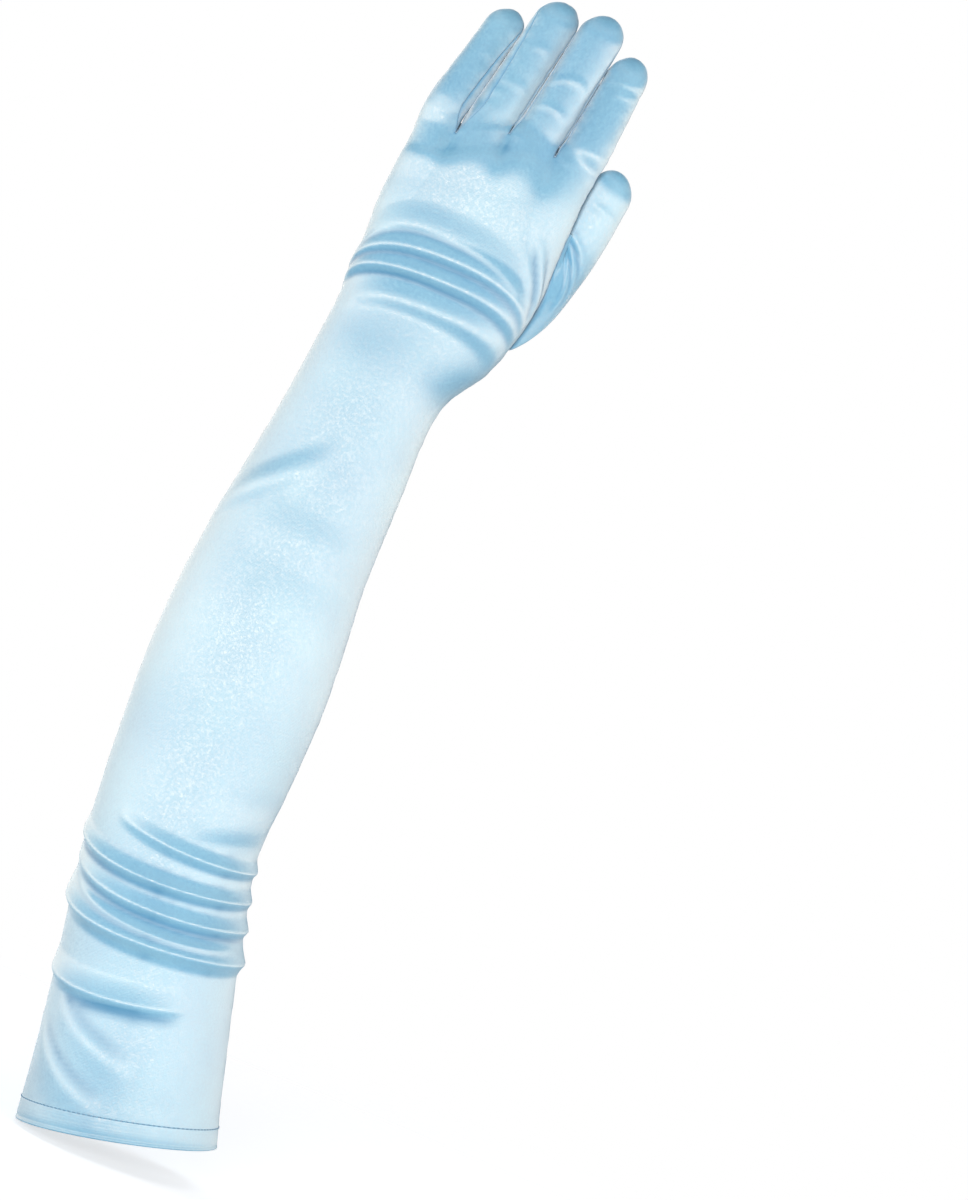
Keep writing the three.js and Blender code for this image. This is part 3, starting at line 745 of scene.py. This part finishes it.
def lay_panel(name, panel, keep=None):
    along = [(height - HEM_HEIGHT) / (FORK_LINE - HEM_HEIGHT) for height in heights]
    parts = [
        lay_cloth(name, panel.columns - 1, LAST_ROW, panel.arm, (0.13, 0.46), keep, panel.spread, along)
    ]
    turn_outwards(parts[0], sleeve_middle)
    for index in range(4):
        strip = lay_cloth(
            name + "_finger", panel.quads, len(FINGER_ROWS) - 1,
            lambda place, row: panel.finger(index, place, row), (0.03, 0.07), None, panel.shares, FINGER_ROWS,
        )
        turn_outwards(strip, lambda place: finger_middle(index, place))
        parts.append(strip)
    return sew(name, parts)


back = Panel(-1, 24)
back_panel = lay_panel("satin_back_panel", back)
print("back panel faces", len(back_panel.data.polygons))

# %% [markdown]
# The palm panel is the same cut with an opening for the thumb. The opening is a pointed oval next to the
# side seam. The columns bend round it, and the faces inside it are deleted.

# %% The palm panel
OPEN_FROM = SLEEVE + 0.370 * HAND
OPEN_TO = SLEEVE + 0.800 * HAND
OPEN_ENDS = 0.32
OPEN_MIDDLE = 1.02
OPEN_EASE = 26.0


def opening_share(height):
    """How wide the strip next to the side seam is, as a share of its even width."""
    share = (height - OPEN_FROM) / (OPEN_TO - OPEN_FROM)
    if 0 <= share <= 1:
        return mix(OPEN_ENDS, OPEN_MIDDLE, 1 - abs(2 * share - 1) ** 2.2)
    away = OPEN_FROM - height if share < 0 else height - OPEN_TO
    return mix(OPEN_ENDS, 1.0, smooth(away, 0, OPEN_EASE))


palm = Panel(1, 16, opening_share)
open_rows = [
    min(range(len(heights)), key=lambda row: abs(heights[row] - limit)) for limit in (OPEN_FROM, OPEN_TO)
]
open_column = palm.edge_column


def outside_opening(column, row):
    return not (column >= open_column and open_rows[0] <= row < open_rows[1])


palm_panel = lay_panel("satin_palm_panel", palm, outside_opening)
print("palm panel faces", len(palm_panel.data.polygons), "opening rows", open_rows)

# %% [markdown]
# ## Fourchettes
#
# A fourchette is the narrow strip that runs up the side of one finger, round the fork and down the next.
# It is one long grid whose two long edges lie on the seams of the panels.

# %% Fourchettes
STRIP_QUADS = 14
WEB_ROWS = 4
WEB_SAG = 0.8
side_rows = [number for number, at in enumerate(FINGER_ROWS) if at <= 0.974]


def side_point(index, thumb_side, share, row):
    at = FINGER_ROWS[row]
    first = seam_swing(index, at, thumb_side, -1)
    last = seam_swing(index, at, thumb_side, 1)
    if not thumb_side:
        last -= 360
    beyond = at * FINGERS[index]["length"]
    back_root, palm_root = (
        panel.carried_on(index * (panel.quads + 1) + (panel.quads if thumb_side else 0), beyond)
        for panel in (back, palm)
    )
    root = back_root.lerp(palm_root, share)
    reached = finger_point(index, at, mix(first, last, share))
    return root.lerp(reached, smooth(at, 0, mix(ROOT_BLEND[-1], ROOT_BLEND[1], share)))


def lay_fourchette(fork):
    sides = len(side_rows)
    total = 2 * sides + WEB_ROWS - 2

    def place(column, row):
        share = column / STRIP_QUADS
        if row < sides:
            return side_point(fork, True, share, side_rows[sides - 1 - row])
        if row >= sides + WEB_ROWS - 1:
            return side_point(fork + 1, False, share, side_rows[row - sides - WEB_ROWS + 1])
        across = (row - sides + 1) / WEB_ROWS
        web = side_point(fork, True, share, 0).lerp(side_point(fork + 1, False, share, 0), across)
        web.z -= WEB_SAG * math.sin(math.pi * across) * math.sin(math.pi * share)
        return web

    before, after = FINGERS[fork], FINGERS[fork + 1]

    def beyond(spot):
        lean = (before["lean"] + after["lean"]) / 2
        middle = ((FORKS[fork] + lean * (spot.z / MM - FORK_LINE)) * MM, spot.y, spot.z - 2 * MM)
        return 2 * spot - Vector(middle)

    name = "satin_fourchette_%s_%s" % (before["name"], after["name"])
    return lay_tube(name, STRIP_QUADS, total, place, (0.014, 0.125), beyond)


fourchettes = [lay_fourchette(fork) for fork in range(3)]
print("fourchettes", [len(strip.data.polygons) for strip in fourchettes])

# %% [markdown]
# ## The thumb
#
# The thumb is a tube that grows out of its opening. Its first rings keep the opening's form and the next
# ones turn and narrow to a round thumb. A grid is rolled into that tube, so its two long edges are welded.
# Small ridges are the creases over its joints.

# %% The thumb
THUMB_LENGTH = 63.0
THUMB_WIDTH = 20.4
THUMB_DEPTH = 19.0
BASE_SLOPE = 48.0
TIP_SLOPE = 14.0
THUMB_REACH = Vector((0.62, 0.42, 0.66)).normalized()
THUMB_RINGS = table(
    "at side palmward width depth follows turned",
    (0.00, 0.17, 0.56, 1.45, 1.20, 1.00, 0.00),
    (0.12, 0.18, 0.58, 1.36, 1.14, 0.68, 0.00),
    (0.28, 0.20, 0.61, 1.16, 1.05, 0.24, 0.26),
    (0.44, 0.32, 0.60, 1.02, 1.00, 0.00, 0.74),
    (0.60, 0.40, 0.59, 1.00, 1.00, 0.00, 1.00),
    (0.75, 0.47, 0.58, 0.98, 0.97, 0.00, 1.00),
    (0.88, 0.54, 0.57, 0.96, 0.94, 0.00, 1.00),
    (1.00, 0.58, 0.56, 0.94, 0.92, 0.00, 1.00),
)
THUMB_CREASES = table(
    "swings at rise reach",
    ((20, 80, 150), (0.20, 0.30, 0.36), 0.8, 3.2),
    ((30, 90, 160), (0.34, 0.40, 0.43), 0.6, 3.0),
    ((10, 60, 120), (0.10, 0.17, 0.26), 0.7, 3.2),
    ((25, 80, 140), (0.68, 0.70, 0.69), 0.3, 3.0),
)
THUMB_CAP = 0.82
THUMB_ROWS = [number / 46 * THUMB_CAP for number in range(47)]
THUMB_ROWS += [0.85, 0.88, 0.91, 0.935, 0.957, 0.975, 0.989, 0.997, 1.0]

seam_column = palm.columns - 1
opening = [palm.arm(seam_column, row) for row in range(open_rows[0], open_rows[1])]
opening += [palm.arm(column, open_rows[1]) for column in range(seam_column, open_column, -1)]
opening += [palm.arm(open_column, row) for row in range(open_rows[1], open_rows[0], -1)]
opening += [palm.arm(column, open_rows[0]) for column in range(open_column, seam_column)]
open_middle = sum(opening, Vector()) / len(opening)
open_section = section_at(open_middle.z)
BACKWARD = Vector((0, -1, 0))


def sloping(slope):
    return Vector((math.cos(math.radians(slope)), 0, -math.sin(math.radians(slope))))


open_angles = []
for spot in opening:
    arm = spot - open_middle
    across = arm.dot(sloping(BASE_SLOPE)) / THUMB_WIDTH
    open_angles.append(math.atan2(arm.dot(BACKWARD) / THUMB_DEPTH, across))


def thumb_place(column, row):
    number = column % len(opening)
    at = THUMB_ROWS[row]
    ring = curve_at(THUMB_RINGS, at, "at", ("side", "palmward", "width", "depth", "follows", "turned"))
    cap = tip_cap(at, THUMB_CAP)
    middle = Vector((
        open_section["side"] + open_section["half_width"] + ring["side"] * THUMB_WIDTH,
        ring["palmward"] * THUMB_WIDTH, open_middle.z + at * THUMB_LENGTH,
    ))
    even = open_angles[0] + 2 * math.pi * number / len(opening)
    angle = open_angles[number]
    angle += 2 * math.pi * round((even - angle) / (2 * math.pi))
    spread = mix(angle, even, min(1.0, max(0.0, ring["turned"])))
    across = sloping(mix(BASE_SLOPE, TIP_SLOPE, ring["turned"]))
    reached = (
        middle + across * math.cos(spread) * ring["width"] * cap * THUMB_WIDTH / 2
        + BACKWARD * math.sin(spread) * ring["depth"] * cap * THUMB_DEPTH / 2
    )
    carried = opening[number] + THUMB_REACH * at * THUMB_LENGTH
    crease = creases_at(THUMB_CREASES, math.degrees(spread) % 360, at, THUMB_LENGTH)
    out = across * math.cos(spread) + BACKWARD * math.sin(spread)
    return reached.lerp(carried, min(1.0, max(0.0, ring["follows"]))) + out * crease


def thumb_middle(spot):
    return Vector(((open_section["side"] + open_section["half_width"] + 6) * MM, 12 * MM, spot.z))


rings = len(THUMB_ROWS) - 1
thumb = lay_tube("satin_thumb", len(opening), rings, thumb_place, (0.07, 0.065), thumb_middle)
print("thumb faces", len(thumb.data.polygons), "round the opening", len(opening))

# %% [markdown]
# ## Slack, seams and the wall
#
# Real satin is never quite even: it has wide soft waves, and it puckers next to its seams. Each point is
# moved along its normal by smooth noise, where a sculptor would use a brush. Next to a seam the cloth rolls
# inwards, as its edge is turned to the inside, so a seam shows as a fine groove. At last the cloth gets its
# wall towards the inside. An attribute keeps how deep each point lies in a crease, for painted crease shade.

# %% Slack and rolled seams
WAVE_SIZE = 38.0
WAVE_RISE = 0.22
PUCKER_SIZE = 4.2
PUCKER_RISE = 0.32
PUCKER_REACH = 4.5
SEAM_ROLL = 0.55
SEAM_TURN_IN = 1.1
CLOTH = 0.45
CREASE_FROM = 0.012
CREASE_FULL = 0.085
CREASE_SPREAD = 2
HEM_FLAT = 0.6
HEM_CALM = 6.0
WAVE_CALM = 8.0


def seam_border(mesh):
    uses = Counter(edge_key for face in mesh.polygons for edge_key in face.edge_keys)
    return {number for edge_key, count in uses.items() if count == 1 for number in edge_key}


def above_hem(place):
    """How far a place is above the hem's seam, which slopes round the arm."""
    section = section_at(HEM_HEIGHT)
    slope = math.tan(math.radians(section["slope"]))
    return place.z - (place.x - section["side"]) * slope - HEM_HEIGHT


def mark_crease_shade(mesh, normals):
    """Stores how deep in a crease each point lies, from 0 to 1, as the mask for painted crease shade."""
    beside = [[] for _ in mesh.vertices]
    for joint in mesh.edges:
        first, second = joint.vertices
        beside[first].append(second)
        beside[second].append(first)
    depth = []
    for vertex, normal, others in zip(mesh.vertices, normals, beside):
        middle = sum((mesh.vertices[other].co for other in others), Vector()) / len(others)
        sunk = (middle - vertex.co).dot(normal) / MM
        near_hem = smooth(above_hem(vertex.co / MM), 1, HEM_CALM)
        depth.append(smooth(sunk, CREASE_FROM, CREASE_FULL) * near_hem)
    for _ in range(CREASE_SPREAD):
        depth = [
            0.4 * value + 0.6 * sum(depth[other] for other in others) / len(others)
            for value, others in zip(depth, beside)
        ]
    # This mask paints shade: the satin darkens its colour and dulls it where the value is high.
    layer = mesh.attributes.new("crease", "FLOAT", "POINT")
    for number, value in enumerate(depth):
        layer.data[number].value = min(1.0, 1.5 * value)


def finish_cloth(piece):
    mesh = piece.data
    border = seam_border(mesh)
    tree = KDTree(len(border))
    for number in border:
        tree.insert(mesh.vertices[number].co, number)
    tree.balance()
    normals = [vertex.normal.copy() for vertex in mesh.vertices]
    for vertex, normal in zip(mesh.vertices, normals):
        place = vertex.co / MM
        _, _, away = tree.find(vertex.co)
        away /= MM
        rise = WAVE_RISE * noise.noise(place / WAVE_SIZE)
        rise += PUCKER_RISE * noise.noise(place / PUCKER_SIZE) * math.exp(-away / PUCKER_REACH)
        rise *= smooth(above_hem(place), 0, WAVE_CALM)
        if away < SEAM_ROLL and above_hem(place) > HEM_FLAT:
            rise -= SEAM_ROLL - math.sqrt(SEAM_ROLL ** 2 - (SEAM_ROLL - away) ** 2)
        vertex.co = (place + normal * rise) * MM
    mark_crease_shade(mesh, normals)
    start_editing(piece, "edges", "DESELECT")
    bpy.ops.mesh.select_non_manifold(
        use_wire=False, use_boundary=True, use_multi_face=False, use_non_contiguous=False, use_verts=False
    )
    bpy.ops.mesh.extrude_region()
    stop_editing()
    for joint in mesh.edges:
        old, new = sorted(joint.vertices)
        if old < len(normals) <= new:
            mesh.vertices[new].co = mesh.vertices[old].co - normals[old] * SEAM_TURN_IN * MM
    give_wall(piece, CLOTH, inside=1)


panels = [back_panel, palm_panel]
for piece in (*panels, thumb, *fourchettes):
    finish_cloth(piece)
    print(piece.name, "triangles", sum(len(face.vertices) - 2 for face in piece.data.polygons))

# %% [markdown]
# ## The hem
#
# The sleeve ends in a hem turned up once to the inside and held by one row of stitches. The band is a grid
# rolled round the arm: its rows run down the outside, round the soft lower edge and up the inside. Its top
# lies flush with the panels, because on the real glove the cloth goes on there without a step.

# %% The hem band
HEM_COLUMNS = 240
HEM_CLOTH = 0.35
HEM_RIPPLE = 0.15
RIPPLE_COUNT = 9
HEM_PROFILE = table(
    "height out",
    (9.46, -0.60), (9.45, -0.15), (9.36, 0.00), (9.00, 0.03), (7.50, 0.06), (5.00, 0.10), (3.20, 0.12),
    (2.30, 0.00), (1.80, -0.08), (1.45, 0.00), (1.15, 0.18), (0.80, 0.24), (0.45, 0.20), (0.12, 0.00),
    (0.00, -0.35), (0.15, -0.90), (0.80, -1.15), (3.00, -1.20), (6.00, -1.20), (8.50, -1.20),
)


def hem_place(column, row):
    turn = 360 * column / HEM_COLUMNS
    turn = turn - 360 if turn > 180 else turn
    step = HEM_PROFILE[row]
    height = step["height"]
    point = arm_point(turn, height)
    along = (arm_point(turn + 1, height) - arm_point(turn - 1, height)).normalized()
    out = along.cross((arm_point(turn, height + 1) - point).normalized()).normalized()
    if out.dot(point - Vector((section_at(height)["side"], 0, point.z))) < 0:
        out = -out
    round_arm = Vector((math.cos(math.radians(turn)), math.sin(math.radians(turn)), 0))
    ripple = HEM_RIPPLE * noise.noise(round_arm * RIPPLE_COUNT) * smooth(height, 9.4, 4)
    return point + out * (step["out"] + ripple)


rows = len(HEM_PROFILE) - 1
hem_band = lay_tube("satin_hem_band", HEM_COLUMNS, rows, hem_place, (0.28, 0.02), sleeve_middle)
give_wall(hem_band, HEM_CLOTH)
print("hem faces", len(hem_band.data.polygons))

# %% [markdown]
# A stitch is a short thread that dips into the cloth at both ends. One cylinder is shaped into a stitch, and
# its copies are set round the top of the hem, one after the other, each a little sunk into the cloth.

# %% One stitch
STITCH_PITCH = 2.4
STITCH_LENGTH = 1.0
THREAD = 0.25
THREAD_END = 0.18
END_TAPER = 0.45
STITCH_OUT = 0.17

pick_nothing()
bpy.ops.mesh.primitive_cylinder_add(
    vertices=6, radius=THREAD * MM, depth=STITCH_LENGTH * MM, end_fill_type="NGON"
)
stitch = bpy.context.object
start_editing(stitch, "faces", "DESELECT")
stop_editing()
for face in stitch.data.polygons:
    face.select = abs(face.normal.z) > 0.9
bpy.ops.object.mode_set(mode="EDIT")
bpy.ops.mesh.inset(thickness=THREAD * END_TAPER * MM, depth=THREAD_END * MM)
stop_editing()
stitch_mesh = stitch.data
print("one stitch has", len(stitch_mesh.polygons), "faces")


# %% Stitches round the hem
def hem_line(turn):
    point = arm_point(turn, HEM_HEIGHT)
    middle = Vector((section_at(HEM_HEIGHT)["side"], 0, point.z))
    return point + (point - middle).normalized() * STITCH_OUT


ring = [hem_line(-180 + 0.5 * step) for step in range(721)]
lengths = [0.0]
for first, second in zip(ring, ring[1:]):
    lengths.append(lengths[-1] + (second - first).length)
stitch_count = round(lengths[-1] / STITCH_PITCH)
copies = []
step = 0
for number in range(stitch_count):
    wanted = lengths[-1] * (number + 0.5) / stitch_count
    while lengths[step + 1] < wanted:
        step += 1
    way = (ring[step + 1] - ring[step]).normalized()
    copy = add_object("hem_stitch", stitch_mesh.copy())
    turned = way.to_track_quat("Z", "Y").to_matrix().to_4x4()
    spot = ring[step].lerp(ring[step + 1], (wanted - lengths[step]) / (lengths[step + 1] - lengths[step]))
    copy.data.transform(Matrix.Translation(spot * MM) @ turned)
    copies.append(copy)
bpy.data.objects.remove(stitch)
work_on(copies[0])
for copy in copies:
    copy.select_set(True)
bpy.ops.object.join()
hem_stitches = bpy.context.object
hem_stitches.name = "hem_stitches"
bpy.ops.object.shade_smooth()
print("stitches", stitch_count, "round", round(lengths[-1]), "mm")

# %% [markdown]
# ## Satin
#
# Satin shines because long threads lie side by side on its face. Close up it has a fine grain that
# sparkles, and from afar a broad soft highlight. The grain is the same for every piece, so it is a node
# group: it puts out the colour, the roughness and the height of the threads. An image of cloth would do
# too, but noise and waves are sharp at every distance.


# %% The satin grain group
def blend(tree, kind, share, first, second):
    inputs = {"Factor": share, "A": first, "B": second}
    return add_node(tree, "ShaderNodeMix", inputs, data_type=kind).outputs["Result"]


def make_grain():
    group = bpy.data.node_groups.new("satin_grain", "ShaderNodeTree")
    for name, way, kind in (
        ("Cloth colour", "INPUT", "Color"), ("Deep colour", "INPUT", "Color"),
        ("Roughness", "INPUT", "Float"), ("Colour", "OUTPUT", "Color"),
        ("Roughness", "OUTPUT", "Float"), ("Height", "OUTPUT", "Float"),
    ):
        group.interface.new_socket(name, in_out=way, socket_type="NodeSocket" + kind)
    given = add_node(group, "NodeGroupInput").outputs
    place = add_node(group, "ShaderNodeTexCoord").outputs

    def speckle(scale, detail):
        inputs = {"Scale": scale, "Detail": detail, "Vector": place["Object"]}
        return add_node(group, "ShaderNodeTexNoise", inputs).outputs["Fac"]

    def threads(direction, scale):
        inputs = {"Scale": scale, "Distortion": 1.5, "Detail": 1.0, "Vector": place["UV"]}
        return add_node(group, "ShaderNodeTexWave", inputs, bands_direction=direction).outputs["Fac"]

    def ranged(value, low, high):
        inputs = {"From Min": 0.3, "From Max": 0.7, "To Min": low, "To Max": high, "Value": value}
        return add_node(group, "ShaderNodeMapRange", inputs).outputs["Result"]

    fine = speckle(850, 3.0)
    broad = speckle(28, 2.0)
    weave = blend(group, "FLOAT", 0.3, threads("X", 900), threads("Y", 500))
    share = ranged(blend(group, "FLOAT", 0.5, fine, broad), 0.0, 1.0)
    rough = {0: given["Roughness"], 1: ranged(fine, -0.10, 0.12)}
    add_node(group, "NodeGroupOutput", {
        "Colour": blend(group, "RGBA", share, given["Deep colour"], given["Cloth colour"]),
        "Roughness": add_node(group, "ShaderNodeMath", rough, operation="ADD").outputs[0],
        "Height": blend(group, "FLOAT", 0.35, fine, weave),
    })
    return group


grain = make_grain()
print("nodes in the grain", len(grain.nodes))

# %% [markdown]
# The threads run along the arm, so the highlight stretches across it. Cloth that faces the front light shows
# pale and cloth that tilts away shows blue. The direction comes from the cloth's own UV map. Deep in a
# crease the stored crease value paints shade: it makes the colour a deeper blue and the cloth dull there.


# %% Materials
# Painted crease shade: a deep blue that darkens the cloth deep in its creases.
CREASE_SHADE_COLOUR = (0.03, 0.26, 0.47, 1)


def satin(name, cloth, deep, roughness, sheen, relief=0.00012):
    material = bpy.data.materials.new(name)
    material.use_nodes = True
    tree = material.node_tree
    cover = fill(tree, add_node(tree, "ShaderNodeGroup", node_tree=grain), {
        "Cloth colour": (*cloth, 1), "Deep colour": (*deep, 1), "Roughness": roughness,
    }).outputs
    # The crease mask paints shade into the base colour and dulls the highlight with roughness there.
    crease = add_node(tree, "ShaderNodeAttribute", attribute_name="crease").outputs["Fac"]
    relieved = {"Strength": 0.8, "Distance": relief, "Height": cover["Height"]}
    along = add_node(tree, "ShaderNodeTangent", direction_type="UV_MAP", uv_map="UVMap")
    fill(tree, tree.nodes["Principled BSDF"], {
        "Base Color": blend(tree, "RGBA", crease, cover["Colour"], CREASE_SHADE_COLOUR),
        "Roughness": blend(tree, "FLOAT", crease, cover["Roughness"], 1.0),
        "Normal": add_node(tree, "ShaderNodeBump", relieved).outputs["Normal"],
        "Tangent": along.outputs["Tangent"], "Anisotropic": 0.95, "IOR": 2.1,
        "Specular IOR Level": 1.0, "Specular Tint": (1.0, 0.78, 0.55, 1),
        "Sheen Weight": sheen, "Sheen Roughness": 0.35, "Sheen Tint": (0.85, 0.94, 1.0, 1),
    })
    return material


satin_face = satin("satin_face", (0.28, 0.58, 0.75), (0.17, 0.44, 0.65), 0.57, 0.35)
satin_inside = satin("satin_inside", (0.30, 0.54, 0.73), (0.26, 0.50, 0.70), 0.7, 0.1)
thread = satin("sewing_thread", (0.12, 0.34, 0.54), (0.08, 0.27, 0.46), 0.75, 0.0, 0.00003)
cuts = (*panels, thumb, *fourchettes, hem_band)
for piece in cuts:
    piece.data.materials.clear()
    piece.data.materials.append(satin_face)
    piece.data.materials.append(satin_inside)
hem_stitches.data.materials.clear()
hem_stitches.data.materials.append(thread)
print("materials", [material.name for material in (satin_face, satin_inside, thread)])

# %% [markdown]
# ## The floor
#
# The floor is one plain pale disc under the hem, like the paper of a photo studio. It fades out before its
# rim, so no edge shows behind the glove, and from below it is see-through.

# %% Floor
FLOOR_RADIUS = 3.0
FLOOR_GAP = 0.0015
FADE_FROM = 0.12
FADE_TO = 0.9

pick_nothing()
bpy.ops.mesh.primitive_circle_add(
    vertices=96, radius=FLOOR_RADIUS, fill_type="NGON", location=(0, 0, cad_low.z - FLOOR_GAP)
)
floor = bpy.context.object
floor.name = "studio_floor"
paper = bpy.data.materials.new("studio_paper")
paper.use_nodes = True
tree = paper.node_tree
spot = add_node(tree, "ShaderNodeTexCoord").outputs["Object"]
distance = add_node(tree, "ShaderNodeVectorMath", {0: spot}, operation="LENGTH").outputs["Value"]
fading = {"From Min": FADE_FROM, "From Max": FADE_TO, "To Min": 1.0, "To Max": 0.0, "Value": distance}
fade = add_node(tree, "ShaderNodeMapRange", fading, interpolation_type="SMOOTHSTEP").outputs["Result"]
underside = add_node(tree, "ShaderNodeNewGeometry").outputs["Backfacing"]
above = add_node(tree, "ShaderNodeMath", {0: fade, 1: underside}, operation="SUBTRACT", use_clamp=True)
seen = add_node(tree, "ShaderNodeLightPath").outputs["Is Camera Ray"]
glow = add_node(tree, "ShaderNodeMath", {0: seen, 1: 0.6}, operation="MULTIPLY")
fill(tree, tree.nodes["Principled BSDF"], {
    "Base Color": (0.93, 0.94, 0.95, 1), "Roughness": 0.9, "Emission Color": (1, 1, 1, 1),
    "Emission Strength": glow.outputs[0], "Alpha": above.outputs[0],
})
floor.data.materials.append(paper)
print("floor at", round(floor.location.z, 4))

# %% [markdown]
# ## What stands for what
#
# Each new piece replaces the plain solid of the imported part and rides on its one body.

# %% Replacing the imported solids
for piece in cuts:
    node = piece.name.removeprefix("satin_")
    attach(piece, "root")
    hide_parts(node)
    print(piece.name, "both faces", round(sum(face.area for face in piece.data.polygons), 4), "m2")
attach(hem_stitches, "root")
